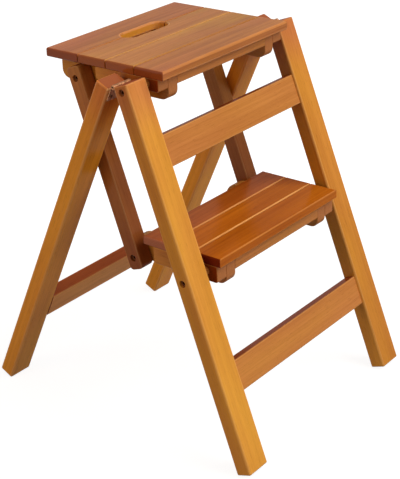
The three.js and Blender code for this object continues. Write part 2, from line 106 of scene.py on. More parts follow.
pivots = {joint["name"]: Vector(joint["pos_m"]) for joint in frame["joints"]}
seat_pivot = pivots["seat_fold"]
step_pivot = pivots["step_fold"]
pivot_span = (seat_pivot - step_pivot).length
step_bolt_up = seat_bolt_up - pivot_span
front_frame_place = (
    Matrix.Translation(seat_pivot)
    @ Matrix.Rotation(-front_lean, 4, "X")
    @ Matrix.Translation((0, -bolt_line, -seat_bolt_up))
)


def arc(centre, radius, start, end, steps):
    """Points along an arc, with its angles in degrees."""
    points = []
    for i in range(steps + 1):
        angle = math.radians(start + (end - start) * i / steps)
        points.append((centre[0] + radius * math.cos(angle), centre[1] + radius * math.sin(angle)))
    return points


def eased_corner(x, y, radius, start, steps):
    """The rounding of an outline's corner at x and y, over the quarter turn from an angle on."""
    across = radius if start in (90, 180) else -radius
    up = radius if start in (180, 270) else -radius
    return arc((x + across, y + up), radius, start, start + 90, steps)


def rectangle(left, bottom, right, top):
    return [(left, bottom), (right, bottom), (right, top), (left, top)]


def close_between(work, first, second):
    """The faces between two rings of corners."""
    for i in range(len(first)):
        after = (i + 1) % len(first)
        work.faces.new((first[i], first[after], second[after], second[i]))


def as_blank(work):
    """The mesh of a closed shape, as it is before it is worked."""
    blank = bpy.data.meshes.new("blank")
    work.to_mesh(blank)
    work.free()
    return blank


def pulled(outline, start, end, along, side_rounding=1.0, rim_rounding=1.0, softest=None):
    """A closed blank: an outline pulled along x, y or z. Each sharp edge holds its share of the
    rounding. softest, where given, says of a place whether its rim has the whole rounding."""
    work = bmesh.new()
    share = work.edges.layers.float.new("bevel_weight_edge")
    layout = {
        "x": lambda p, far: (far, p[0], p[1]),
        "y": lambda p, far: (p[0], far, p[1]),
        "z": lambda p, far: (p[0], p[1], far),
    }[along]
    near = [work.verts.new(layout(p, start)) for p in outline]
    far = [work.verts.new(layout(p, end)) for p in outline]
    work.faces.new(near)
    work.faces.new(far)
    close_between(work, near, far)
    bmesh.ops.recalc_face_normals(work, faces=work.faces)
    for edge in work.edges:
        if edge.calc_face_angle() > sharp_corner:
            one, other = edge.verts
            if (one in near) != (other in near):
                edge[share] = side_rounding
            elif softest and softest((one.co + other.co) / 2):
                edge[share] = 1
            else:
                edge[share] = rim_rounding
    return as_blank(work)


def circle(centre, radius, steps=40):
    return arc(centre, radius, 0, 360, steps)[:-1]


def through(outline, side, outer, inner):
    """A cutter that goes right through a board, from its outer face to its inner one."""
    return pulled(outline, side * (outer + overrun), side * (inner - overrun), "x")


def bolt_cutters(side, outer, inner, centre):
    """A bolt's hole right through a board, and the sink for its head on the outside."""
    ends = (side * (outer + overrun), side * (outer - sink_depth))
    hole = through(circle(centre, hole_radius), side, outer, inner)
    return [hole, pulled(circle(centre, sink_radius), *ends, "x")]


def as_shown(piece):
    """The piece's mesh as its modifiers leave it."""
    bpy.context.view_layer.update()
    graph = bpy.context.evaluated_depsgraph_get()
    seen = piece.evaluated_get(graph)
    return bpy.data.meshes.new_from_object(seen, preserve_all_data_layers=True, depsgraph=graph)


def keep_on(mesh, name, values, kind="FLOAT", domain="FACE"):
    """Keeps values on a mesh, where the finishes read them."""
    kept = mesh.attributes.new(name, kind, domain)
    kept.data.foreach_set("vector" if kind == "FLOAT_VECTOR" else "value", values)


def worked(name, blank, place, ease=0.0, cutters=(), kept_inside=None):
    """Rounds a blank's edges, cuts it, and keeps flat faces flat where they meet a rounding."""
    flat_slot, rounded_slot = 0, 1
    blank.materials.append(None)
    blank.materials.append(None)
    piece = in_scene(name, blank)
    if ease:
        rounding = piece.modifiers.new("rounding", "BEVEL")
        rounding.width = ease
        rounding.segments = 4
        rounding.limit_method = "WEIGHT"
        rounding.use_clamp_overlap = False
        rounding.material = rounded_slot
    tools = []
    jobs = [(mesh, "DIFFERENCE") for mesh in cutters]
    if kept_inside:
        jobs.append((kept_inside, "INTERSECT"))
    for mesh, operation in jobs:
        tool = in_scene("tool", mesh)
        tools.append(tool)
        cut = piece.modifiers.new("cut", "BOOLEAN")
        cut.operation = operation
        cut.solver = "EXACT"
        cut.object = tool
    shaped = as_shown(piece)
    piece.modifiers.clear()
    for tool in tools:
        bpy.data.objects.remove(tool)
    rounded_faces = [float(face.material_index == rounded_slot) for face in shaped.polygons]
    shaped.materials.clear()
    for face in shaped.polygons:
        face.material_index = flat_slot
        face.use_smooth = True
    shaped.set_sharp_from_angle(angle=crease)
    keep_on(shaped, "arris", rounded_faces)
    piece.data = shaped
    settled = piece.modifiers.new("flat faces", "WEIGHTED_NORMAL")
    settled.keep_sharp = True
    piece.data = as_shown(piece)
    piece.modifiers.clear()
    piece.matrix_world = place
    return piece


# Each board comes from its own place in the trunk, some 45 to 120 mm from the pith, so that no
# two show the same figure.
sawyer = random.Random(11)
boards_from_pith = (45, 120)
trunk_length = 4


def mark_grain(piece, along, squareness=0.9):
    """Keeps each point's place in the trunk, with the last number along the grain, and marks the
    end grain: the faces that look along the grain by more than squareness."""
    mesh = piece.data
    order = {"x": (1, 2, 0), "y": (0, 2, 1), "z": (0, 1, 2)}[along]
    from_pith = sawyer.uniform(*boards_from_pith) * mm
    turn = sawyer.uniform(0, 2 * math.pi)
    up_trunk = sawyer.uniform(0, trunk_length)
    start = Vector((from_pith * math.cos(turn), from_pith * math.sin(turn), up_trunk))
    places = [vertex.co[order[i]] + start[i] for vertex in mesh.vertices for i in range(3)]
    keep_on(mesh, "grain", places, "FLOAT_VECTOR", "POINT")
    ends = [float(abs(face.normal[order[2]]) > squareness) for face in mesh.polygons]
    keep_on(mesh, "end_grain", ends)


def spread_over(piece, name, share_at):
    """Marks each face's corners with a share that depends on their place and the face's normal."""
    mesh = piece.data
    shares = [
        share_at(mesh.vertices[point].co, face.normal)
        for face in mesh.polygons
        for point in face.vertices
    ]
    keep_on(mesh, name, shares, domain="CORNER")


def add_node(tree, kind, inputs=None, **settings):
    """A node with its settings. Its inputs are linked to outputs, or set to numbers or colours."""
    node = tree.nodes.new(kind)
    for name, value in settings.items():
        setattr(node, name, value)
    for name, value in (inputs or {}).items():
        if isinstance(value, bpy.types.NodeSocket):
            tree.links.new(value, node.inputs[name])
        else:
            node.inputs[name].default_value = value
    return node


def reckon(tree, operation, *values, clamp=False):
    """A sum of one to three outputs or numbers."""
    terms = dict(enumerate(values))
    return add_node(tree, "ShaderNodeMath", terms, operation=operation, use_clamp=clamp).outputs[0]


def blended(tree, share, first, second, method="MIX"):
    """Two colours mixed by a share. The node has its colours' sockets at 6 and 7."""
    parts = {0: share, 6: first, 7: second}
    return add_node(tree, "ShaderNodeMix", parts, data_type="RGBA", blend_type=method).outputs[2]


def stretched(tree, value, low, high, steps="SMOOTHSTEP", least=0, most=1):
    """A value stretched from low and high to least and most, and held between them."""
    limits = {"Value": value, "From Min": low, "From Max": high, "To Min": least, "To Max": most}
    node = add_node(tree, "ShaderNodeMapRange", limits, clamp=True, interpolation_type=steps)
    return node.outputs[0]


def vector_sum(tree, operation, *values):
    """The outputs of a sum of one or two outputs or vectors."""
    terms = dict(enumerate(values))
    return add_node(tree, "ShaderNodeVectorMath", terms, operation=operation).outputs


def streaks(tree, grain, across, along, detail, low, high):
    """Noise drawn out along the grain and stretched to run from 0 to 1."""
    scaled = vector_sum(tree, "MULTIPLY", grain, (across, across, along))[0]
    inputs = {"Vector": scaled, "Scale": 1, "Detail": detail}
    noise = add_node(tree, "ShaderNodeTexNoise", inputs, noise_dimensions="3D")
    return stretched(tree, noise.outputs["Fac"], low, high, "LINEAR")


def begin_effect(name, colours, numbers, results):
    """A shader node group with its inputs, its outputs, and the given values inside it."""
    tree = bpy.data.node_groups.new(name, "ShaderNodeTree")
    sockets = [(colour, "INPUT", "NodeSocketColor") for colour in colours]
    sockets += [(number, "INPUT", "NodeSocketFloat") for number in numbers]
    sockets += [("Colour", "OUTPUT", "NodeSocketColor")]
    sockets += [(result, "OUTPUT", "NodeSocketFloat") for result in results]
    for socket, in_out, kind in sockets:
        tree.interface.new_socket(name=socket, in_out=in_out, socket_type=kind)
    return tree, add_node(tree, "NodeGroupInput").outputs


def make_wood_grain():
    """Growth rings, fibres, pores and slow drifts of tone, rubbed arrises with a painted
    highlight, painted shade and dark ends.
    """
    tree, given = begin_effect(
        "wood grain",
        ("Pale wood", "Dark wood", "Rubbed wood", "End wood"),
        ("Ring width", "Rings", "Fibres", "Drift", "Gold", "Rubbing", "Sheen"),
        ("Roughness", "Relief"),
    )
    grain = add_node(tree, "ShaderNodeAttribute", attribute_name="grain").outputs["Vector"]
    arris, end_grain, oiled_and_lit, stain_and_shade, up_leg = [
        add_node(tree, "ShaderNodeAttribute", attribute_name=mark).outputs["Fac"]
        for mark in ("arris", "end_grain", "oiled_and_lit", "stain_and_shade", "up_leg")
    ]

    # Rings lie around the pith, bent by slow swings of the trunk
    swing = streaks(tree, grain, across=16, along=2.4, detail=2, low=0.25, high=0.75)
    swing_reach = 0.016
    from_pith = vector_sum(tree, "LENGTH", vector_sum(tree, "MULTIPLY", grain, (1, 1, 0))[0])
    bent = reckon(tree, "MULTIPLY_ADD", swing, swing_reach, from_pith["Value"])
    in_year = reckon(tree, "FRACT", reckon(tree, "DIVIDE", bent, given["Ring width"]))
    ring_rise = 2.6
    late_wood_end = 0.88
    late_wood = reckon(tree, "POWER", in_year, ring_rise)
    ring = reckon(tree, "MULTIPLY", late_wood, stretched(tree, in_year, 1.0, late_wood_end))

    fibre = streaks(tree, grain, across=520, along=7, detail=3, low=0.32, high=0.68)
    band = streaks(tree, grain, across=95, along=1.6, detail=2, low=0.37, high=0.63)
    pore = streaks(tree, grain, across=1500, along=60, detail=1, low=0.62, high=0.74)
    drift = streaks(tree, grain, across=14, along=4.5, detail=2, low=0.37, high=0.63)
    patch = streaks(tree, grain, across=17, along=4.5, detail=1, low=0.38, high=0.66)

    fine_dark = reckon(tree, "MULTIPLY", fibre, given["Fibres"])
    dark = reckon(tree, "MULTIPLY_ADD", ring, given["Rings"], fine_dark)
    for slow in (band, drift):
        dark = reckon(tree, "MULTIPLY_ADD", slow, given["Drift"], dark, clamp=True)
    tone = blended(tree, dark, given["Pale wood"], given["Dark wood"])

    # Pores, golden patches, stains and painted shade, and the legs' redder heads tint the wood
    pore_share = 0.35
    leg_head_start, leg_head_full = 0.84, 0.98
    for share, tint in (
        (reckon(tree, "MULTIPLY", pore, pore_share), (0.35, 0.2, 0.12, 1)),
        (reckon(tree, "MULTIPLY", patch, given["Gold"]), (1.12, 1.4, 0.75, 1)),
        # This dark red tints the stain mark, which holds painted shade on the blocks' front ends,
        # the links' lower ends and the rails' tops, and darker tone elsewhere
        (stain_and_shade, (0.32, 0.05, 0.0, 1)),
        (stretched(tree, up_leg, leg_head_start, leg_head_full), (0.84, 0.68, 1.3, 1)),
    ):
        tone = blended(tree, share, tone, tint, "MULTIPLY")

    # The varnish is rubbed thin along the arrises, more in some places than in others, and a
    # painted highlight lies on them too; the ends are dark; and where hands hold the board it is
    # oiled golden, with painted light and shade along the hand-hole's wall
    least_rubbed_and_highlight = 0.55
    end_fibre = (0.5, 0.35, 0.3, 1)
    oiled_pale = (0.85, 0.36, 0.03, 1)
    oiled_dark = (0.62, 0.24, 0.018, 1)
    thin = streaks(tree, grain, across=60, along=14, detail=2, low=0.25, high=0.6)
    rubbed = reckon(tree, "MULTIPLY_ADD", thin, 1 - least_rubbed_and_highlight, least_rubbed_and_highlight)
    rubbed = reckon(tree, "MULTIPLY", rubbed, arris)
    rubbed = reckon(tree, "MULTIPLY", rubbed, given["Rubbing"], clamp=True)
    # The lighter arris colour is partly rubbed varnish and partly a painted highlight
    tone = blended(tree, rubbed, tone, given["Rubbed wood"])
    end_tone = blended(tree, fine_dark, given["End wood"], end_fibre, "MULTIPLY")
    tone = blended(tree, end_grain, tone, end_tone)
    # The oiled tone on the hand-hole's wall holds painted light and shade
    tone = blended(tree, oiled_and_lit, tone, blended(tree, dark, oiled_pale, oiled_dark))

    fibre_roughness = 0.1
    rubbed_roughness = 0.12
    pore_depth = 0.8
    ring_height = 0.5
    roughness = reckon(tree, "MULTIPLY_ADD", fibre, fibre_roughness, given["Sheen"])
    roughness = reckon(tree, "MULTIPLY_ADD", rubbed, rubbed_roughness, roughness)
    relief = reckon(tree, "MULTIPLY_ADD", pore, -pore_depth, fibre)
    relief = reckon(tree, "MULTIPLY_ADD", ring, ring_height, relief)
    results = {"Colour": tone, "Roughness": roughness, "Relief": relief}
    add_node(tree, "NodeGroupOutput", results)
    return tree


wood_grain = make_wood_grain()


def emptied(owner):
    """The cleared node tree of a material or a world."""
    owner.use_nodes = True
    owner.node_tree.nodes.clear()
    return owner.node_tree


def dressed(name, effect, plain, **given):
    """A material: a shader with its own plain values, and an effect that gives it its colour,
    roughness and relief. Each given value goes to the effect's input of its name."""
    finish = bpy.data.materials.new(name)
    tree = emptied(finish)
    inputs = {
        what.replace("_", " ").capitalize(): (*value, 1) if isinstance(value, tuple) else value
        for what, value in given.items()
    }
    worn = add_node(tree, "ShaderNodeGroup", inputs, node_tree=effect).outputs
    changing = {"Base Color": worn["Colour"], "Roughness": worn["Roughness"]}
    if "Relief" in worn:
        depths = {"Strength": 0.25, "Distance": 0.2 * mm, "Height": worn["Relief"]}
        changing["Normal"] = add_node(tree, "ShaderNodeBump", depths).outputs["Normal"]
    surface = add_node(tree, "ShaderNodeBsdfPrincipled", {**plain, **changing})
    add_node(tree, "ShaderNodeOutputMaterial", {"Surface": surface.outputs["BSDF"]})
    return finish


def varnished(name, coat, **given):
    """A varnished wood: its own tones and figure under a clear coat."""
    clear_coat = {"Specular IOR Level": 0, "Coat Weight": coat, "Coat Roughness": 0.2}
    return dressed(name, wood_grain, clear_coat, **given)


def fit(piece, node, body, finish):
    """The piece gets its finish, stands for the solid of its node, and moves with its body."""
    piece.data.materials.append(finish)
    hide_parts(node)
    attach(piece, body)


leg_figure = {
    "ring_width": 0.0065, "rings": 0.16, "fibres": 0.12, "drift": 0.26,
    "gold": 0.35, "rubbing": 0.35, "sheen": 0.36, "coat": 0.18,
}
honey_leg = varnished(
    "honey leg wood",
    pale_wood=(0.85, 0.363, 0.053), dark_wood=(0.62, 0.22, 0.028),
    rubbed_wood=(0.84, 0.42, 0.12), end_wood=(0.37, 0.09, 0.038),
    **leg_figure,
)


def wear_and_highlight_top(leg, length, front_wear_and_highlight):
    """Wears the rounding at a leg's top less than the long edges, but for its front edge, which
    takes its own share; on the rear legs that share is mostly a painted highlight.
    """
    for face, worn in zip(leg.data.polygons, leg.data.attributes["arris"].data):
        if worn.value and face.center.z > length - leg_ease:
            worn.value = front_wear_and_highlight if abs(face.center.y) < leg_ease else top_wear


def left_leg_darkening(place, normal):
    """The left leg's outer side is darker, and more so towards the top."""
    foot, rise = 0.1, 0.2
    return foot + rise * place.z / front_leg_length if normal.x < -square_on else 0.0


def right_leg_darkening(place, normal):
    """The right leg is darker at its foot, and its inner side at the top."""
    inner_head, foot, fade = 0.5, 0.4, 0.26
    up = place.z / front_leg_length
    return inner_head * up if normal.x < -square_on else foot - fade * up


top_wear = 0.3
leg_rim_rounding = 0.75
for side_name, side in sides:
    left = side * leg_middle - leg_width / 2
    outline = rectangle(left, -leg_depth, left + leg_width, 0)
    blank = pulled(outline, 0, front_leg_length, "z", rim_rounding=leg_rim_rounding)
    cutters = bolt_cutters(side, leg_outer, leg_inner, (bolt_line, seat_bolt_up))
    cutters += bolt_cutters(side, leg_outer, leg_inner, (bolt_line, step_bolt_up))
    leg = worked(f"sawn_front_leg_{side_name}", blank, front_frame_place, leg_ease, cutters)
    mark_grain(leg, "z")
    wear_and_highlight_top(leg, front_leg_length, top_wear)
    spread_over(leg, "up_leg", lambda place, normal: place.z / front_leg_length)
    spread_over(leg, "stain_and_shade", left_leg_darkening if side < 0 else right_leg_darkening)
    fit(leg, f"front_leg_{side_name}", "front_frame", honey_leg)

# Front rails
# Two boards of the same honey-coloured wood between the front legs, one low down and one under
# the seat, set back a little from the legs' front faces and joined to them by hidden dowels.
rail_thickness = 18 * mm
rail_setback = 3.5 * mm
rail_ease = 2 * mm
rail_front = rail_setback - leg_depth

rail_figure = {"ring_width": 0.0055, "rings": 0.2, "fibres": 0.2, "sheen": 0.36, "coat": 0.18}
honey_rail = varnished(
    "honey rail wood",
    pale_wood=(0.65, 0.243, 0.060), dark_wood=(0.44, 0.138, 0.026),
    rubbed_wood=(0.78, 0.40, 0.13), end_wood=(0.5, 0.17, 0.04),
    drift=0.26, gold=0.3, rubbing=0.3, **rail_figure,
)


def rail_top_shade(place, normal):
    """Painted shade on the rails' tops; their other faces are darkened a very little."""
    on_top, elsewhere = 0.8, 0.03
    return on_top if normal.z > square_on else elsewhere


for name, low, height in (
    ("front_rail_lower", 116.5 * mm, 49 * mm),
    ("front_rail_upper", seat_bolt_up - 131.5 * mm, 51 * mm),
):
    outline = rectangle(rail_front, low, rail_front + rail_thickness, low + height)
    blank = pulled(outline, -leg_inner, leg_inner, "x", rim_rounding=0)
    rail = worked(f"sawn_{name}", blank, front_frame_place, rail_ease)
    mark_grain(rail, "x")
    spread_over(rail, "stain_and_shade", rail_top_shade)
    fit(rail, name, "front_frame", honey_rail)

# Rear legs and rail
# Two more square-sawn bars, of amber wood, that lean forward and end just under the hinge pins,
# with one copper-brown rail dowelled between them low down. The rail's front face is flush with
# the legs' front faces.
rear_lean = math.radians(25.4)
pin_up_rear_leg = 644.739 * mm
pin_stand_off = 4 * mm
rear_leg_length = pin_up_rear_leg - 5.7 * mm
rear_rail_up = 130 * mm
rear_rail_height = 45 * mm
rear_rail_thickness = 22.5 * mm
hinge_pin = pivots["rear_frame_fold"]
rear_frame_place = (
    Matrix.Translation(hinge_pin)
    @ Matrix.Rotation(rear_lean, 4, "X")
    @ Matrix.Translation((0, pin_stand_off, -pin_up_rear_leg))
)

amber_leg = varnished(
    "amber leg wood",
    pale_wood=(0.92, 0.355, 0.040), dark_wood=(0.65, 0.21, 0.02),
    rubbed_wood=(0.88, 0.48, 0.20), end_wood=(0.40, 0.108, 0.034),
    **leg_figure,
)
copper_rail = varnished(
    "copper rail wood",
    pale_wood=(0.98, 0.42, 0.11), dark_wood=(0.74, 0.26, 0.055),
    rubbed_wood=(0.86, 0.42, 0.14), end_wood=(0.45, 0.13, 0.03),
    drift=0.3, gold=0.15, rubbing=0.35, **rail_figure,
)

# A painted highlight along the rear legs' top front edge, much brighter than worn varnish
front_edge_highlight = 2.4
for side_name, side in sides:
    left = side * leg_middle - leg_width / 2
    outline = rectangle(left, 0, left + leg_width, leg_depth)
    blank = pulled(
        outline, 0, rear_leg_length, "z",
        rim_rounding=leg_rim_rounding, softest=lambda rim: rim.z > leg_width,
    )
    leg = worked(f"sawn_rear_leg_{side_name}", blank, rear_frame_place, leg_ease)
    mark_grain(leg, "z")
    spread_over(leg, "up_leg", lambda place, normal: place.z / rear_leg_length)
    wear_and_highlight_top(leg, rear_leg_length, front_edge_highlight)
    fit(leg, f"rear_leg_{side_name}", "rear_frame", amber_leg)

outline = rectangle(0, rear_rail_up, rear_rail_thickness, rear_rail_up + rear_rail_height)
blank = pulled(outline, -leg_inner, leg_inner, "x", rim_rounding=0)
rail = worked("sawn_rear_rail", blank, rear_frame_place, rail_ease)
mark_grain(rail, "x")
spread_over(rail, "stain_and_shade", rail_top_shade)
fit(rail, "rear_rail", "rear_frame", copper_rail)

# Stop rod
# A turned rod of brown wood between the rear legs, glued into them, on which the seat's battens
# hook with a notch. It carries the seat's rear and keeps the two frames from spreading.
rod_radius = 8 * mm
rod_set_in = 11.5 * mm
rod_height = 542.7 * mm
rod_up = (rod_height - rod_set_in * math.sin(rear_lean)) / math.cos(rear_lean)

batten_figure = {
    "ring_width": 0.005, "rings": 0.2, "fibres": 0.25, "drift": 0.26, "sheen": 0.4, "coat": 0.2,
}
brown_carrier = varnished(
    "brown carrier wood",
    pale_wood=(0.57, 0.205, 0.048), dark_wood=(0.35, 0.11, 0.02),
    rubbed_wood=(0.58, 0.28, 0.09), end_wood=(0.50, 0.19, 0.055),
    gold=0.3, rubbing=0.4, **batten_figure,
)

blank = pulled(circle((rod_set_in, rod_up), rod_radius, steps=48), -leg_inner, leg_inner, "x")
rod = worked("turned_stop_rod", blank, rear_frame_place)
mark_grain(rod, "x")
fit(rod, "seat_stop_rod", "rear_frame", brown_carrier)

# Seat slats
# Four varnished boards with rounded edges, laid side by side with a thin gap and fixed from
# below. The two rear ones are bitten out for the oval hand-hole by which the stool is carried.
slat_thickness = 15 * mm
slat_gap = 1.5 * mm
slat_ease = 1.8 * mm
outer_ease = 3.6 * mm
seam_corner = 1.2 * mm
seat_top = 23.2 * mm
seat_underside = seat_top - slat_thickness
seat_nose = 36 * mm
seat_depth = 242.9 * mm
seat_slat_width = 56.9 * mm
seat_half_length = leg_inner - 8 * mm
hand_hole_half = 50.5 * mm
hand_hole_radius = 16 * mm
seat_place = Matrix.Translation(seat_pivot)

slat_figure = {
    "ring_width": 0.006, "rings": 0.2, "fibres": 0.2, "drift": 0.36, "rubbing": 0.75, "sheen": 0.3,
}
red_slat = varnished(
    "red-brown slat wood",
    pale_wood=(0.56, 0.170, 0.043), dark_wood=(0.32, 0.078, 0.016),
    rubbed_wood=(0.84, 0.34, 0.10), end_wood=(0.31, 0.069, 0.016),
    gold=0.9, coat=0.32, **slat_figure,
)
golden_slat = varnished(
    "golden slat wood",
    pale_wood=(0.63, 0.243, 0.044), dark_wood=(0.40, 0.121, 0.019),
    rubbed_wood=(0.86, 0.46, 0.13), end_wood=(0.37, 0.095, 0.018),
    gold=1.0, coat=0.32, **slat_figure,
)


def slat_outline(half, front, rear, bite):
    """A slat's outline from above. A bite of 1 is out of its rear edge, and of -1 of its front."""
    straight = hand_hole_half - hand_hole_radius
    tip = math.degrees(math.asin(slat_gap / 2 / hand_hole_radius))
    outline = [(half, front), (half, rear)]
    if bite == 1:
        outline += arc((straight, hand_seam), hand_hole_radius, -tip, -90, steps=12)
        outline += arc((-straight, hand_seam), hand_hole_radius, -90, tip - 180, steps=12)
    outline += [(-half, rear), (-half, front)]
    if bite == -1:
        outline += arc((-straight, hand_seam), hand_hole_radius, 180 - tip, 90, steps=12)
        outline += arc((straight, hand_seam), hand_hole_radius, 90, tip, steps=12)
    return outline


def in_hand_hole(place, rim=0.2 * mm):
    """Whether a place lies in the hand-hole, or within a rim around it."""
    beside = max(abs(place.x) - hand_hole_half + hand_hole_radius, 0)
    return beside ** 2 + (place.y - hand_seam) ** 2 < (hand_hole_radius + rim) ** 2


def oiling_and_light(spot, normal):
    """How much golden oiled tone the hand-hole's wall takes: most at its left end, painted as lit,
    and less towards its right end, painted as in shade.
    """
    at_middle, change, wall_steepness = 0.72, 0.28, 0.6
    if abs(normal.z) > wall_steepness or not in_hand_hole(spot):
        return 0.0
    return at_middle - change * spot.x / hand_hole_half


def lay_slat(
    node, half, front, rear, underside, place, body, finish,
    front_wear_and_highlight, rear_wear_and_highlight, right_stain, bite=0, nosed=False,
):
    """The front and rear shares say how bright the slat's long arrises are, partly from worn
    varnish and partly as a painted highlight, and right_stain how much darker its right end is.
    The ends, the hand-hole's rim and, where the slat is nosed, its front edge are rounded over
    further than the edges at the seams."""

    def well_rounded(rim):
        at_end = abs(rim.x) > half - mm
        at_nose = nosed and rim.y < front + mm
        return at_end or at_nose or (bite and in_hand_hole(rim))

    outline = slat_outline(half, front, rear, bite)
    seam_shares = (seam_corner / outer_ease, slat_ease / outer_ease)
    top = underside + slat_thickness
    blank = pulled(outline, underside, top, "z", *seam_shares, well_rounded)
    board = worked(f"sawn_{node}", blank, place, outer_ease)
    mark_grain(board, "x", with_rounding)
    spread_over(board, "stain_and_shade", lambda spot, normal: right_stain * (1 + spot.x / half) / 2)
    if bite:
        spread_over(board, "oiled_and_lit", oiling_and_light)
    marks = board.data.attributes
    for face, worn, end in zip(board.data.polygons, marks["arris"].data, marks["end_grain"].data):
        spot = face.center
        if bite and in_hand_hole(spot, outer_ease) and abs(face.normal.z) < flat_on:
            end.value = 0
            # The far rim's right half carries a painted highlight; the rest of the rim a little
            # wear
            far_side = spot.y > hand_seam + hand_hole_radius / 2 and spot.x > -hand_hole_radius
            worn.value = far_rim_highlight if far_side else hole_rim_wear
        elif abs(spot.x) > half - outer_ease:
            worn.value = 0
        elif worn.value and spot.y < front + outer_ease:
            worn.value = front_wear_and_highlight
        elif worn.value and spot.y > rear - slat_ease:
            worn.value = rear_wear_and_highlight
    fit(board, node, body, finish)


with_rounding = 0.25
flat_on = 0.98
hole_rim_wear = 0.3
# A painted highlight on the hand-hole's far rim, three times the rim's wear
far_rim_highlight = 3 * hole_rim_wear
slat_pitch = seat_slat_width + slat_gap
seat_rear_slat_width = seat_depth - 3 * slat_pitch
hand_seam = 3 * slat_pitch - seat_nose - slat_gap / 2
# Each slat's arris brightness is partly wear and partly painted highlight, brightest where a
# seam's arris catches the light
for number, width, bite, front_wear_and_highlight, rear_wear_and_highlight, right_stain, finish in (
    (1, seat_slat_width, 0, 0.55, 0.05, 0.04, red_slat),
    (2, seat_slat_width, 0, 0.15, 0.3, 0.22, golden_slat),
    (3, seat_slat_width, 1, 0.55, 0.15, 0.26, golden_slat),
    (4, seat_rear_slat_width, -1, 0.25, 0.1, 0.12, red_slat),
):
    front = (number - 1) * slat_pitch - seat_nose
    lay_slat(
        f"seat_slat_{number}", seat_half_length, front, front + width, seat_underside,
        seat_place, "seat", finish, front_wear_and_highlight, rear_wear_and_highlight, right_stain, bite, nosed=number == 1,
    )

# Seat battens, blocks and cross rails
# Two sawn battens run under the slats from front to rear and hook over the stop rod with their
# notches. A block on the outside of each fills the way to the leg. A thin rail closes the front,
# and another stiffens the seat behind the hand-hole.
batten_height = 40 * mm
batten_outer = 135 * mm
batten_inner = 113 * mm
batten_corner = 15 * mm
batten_ease = 1.2 * mm
block_outer = 158 * mm
seat_block_height = 20.5 * mm
step_block_height = 27.5 * mm
block_rear = 104.6 * mm
block_corner = 4 * mm
front_rail_thickness = 14 * mm
front_rail_ease = 1.5 * mm
seat_batten_nose = 24 * mm
seat_batten_rear = 199.5 * mm
seat_front_rail_height = 18 * mm
notch_radius = rod_radius + 0.3 * mm
notch_ramp = 33
link_pivot = pivots["link_turn"] - seat_pivot
link_arm = (link_pivot.y, link_pivot.z)

golden_batten = varnished(
    "golden batten wood",
    pale_wood=(0.70, 0.28, 0.055), dark_wood=(0.46, 0.15, 0.025),
    rubbed_wood=(0.72, 0.38, 0.12), end_wood=(0.48, 0.17, 0.045),
    gold=0.4, rubbing=0.4, **batten_figure,
)


def hole_across(centre):
    far = block_outer + overrun
    return pulled(circle(centre, hole_radius), -far, far, "x")


def lay_carriers(body, place, outline, nose, underside, block_height, notched=None):
    """The battens under the seat or the step, each with the block on its outside. The blocks carry
    painted shade, darkest at their front ends, which lie in the gap behind the legs."""
    bottom = underside - block_height
    length = block_rear + nose

    # Painted shade on each block, from none at its rear end to darkest at its front end
    def front_painted_shade(spot, normal):
        return block_painted_shade * (block_rear - spot.y) / length

    block_outline = [(block_rear, underside), (-nose, underside)]
    block_outline += eased_corner(-nose, bottom, block_corner, 180, steps=6)
    block_outline += eased_corner(block_rear, bottom, block_corner, 270, steps=6)
    for side_name, side in sides:
        cutters = [hole_across((0, 0)), hole_across(link_arm)]
        if notched:
            cutters.append(through(notched, side, batten_outer, batten_inner))
        node = f"{body}_batten_{side_name}"
        blank = pulled(outline, side * batten_outer, side * batten_inner, "x", side_share)
        batten = worked(f"sawn_{node}", blank, place, batten_ease, cutters)
        mark_grain(batten, "y", with_rounding)
        fit(batten, node, body, golden_batten)

        node = f"{body}_block_{side_name}"
        blank = pulled(block_outline, side * block_outer, side * batten_outer, "x", side_share)
        block = worked(f"sawn_{node}", blank, place, batten_ease, [hole_across((0, 0))])
        mark_grain(block, "y", block_squareness)
        spread_over(block, "stain_and_shade", front_painted_shade)
        fit(block, node, body, golden_batten)


def lay_cross_rail(node, front, underside, height, place, body):
    outline = rectangle(front, underside - height, front + front_rail_thickness, underside)
    blank = pulled(outline, -batten_inner, batten_inner, "x", rim_rounding=0)
    rail = worked(f"sawn_{node}", blank, place, front_rail_ease)
    mark_grain(rail, "x")
    fit(rail, node, body, brown_carrier)


side_share = 0.6
block_squareness = 0.5
# How dark the painted shade at the blocks' front ends is
block_painted_shade = 0.9
rod_place = rear_frame_place @ Vector((0, rod_set_in, rod_up)) - seat_pivot
batten_bottom = seat_underside - batten_height
notch_floor = batten_bottom - rod_radius
notch = [(rod_place.y + notch_radius, notch_floor)]
notch += arc((rod_place.y, rod_place.z), notch_radius, 0, 90 + notch_ramp, steps=14)
ramp_run = (notch[-1][1] - notch_floor) / math.tan(math.radians(notch_ramp))
notch.append((notch[-1][0] - ramp_run, notch_floor))

seat_batten = [(seat_batten_rear, seat_underside), (-seat_batten_nose, seat_underside)]
seat_batten += eased_corner(-seat_batten_nose, batten_bottom, batten_corner, 180, steps=12)
seat_batten += eased_corner(seat_batten_rear, batten_bottom, batten_corner, 270, steps=12)
lay_carriers(
    "seat", seat_place, seat_batten, seat_batten_nose, seat_underside, seat_block_height, notch
)
cross_rail = (seat_underside, seat_front_rail_height, seat_place, "seat")
lay_cross_rail("seat_front_rail", -seat_batten_nose, *cross_rail)
rear_rail_clear = 1.5 * mm
lay_cross_rail("seat_rear_rail", hand_seam + hand_hole_radius + rear_rail_clear, *cross_rail)

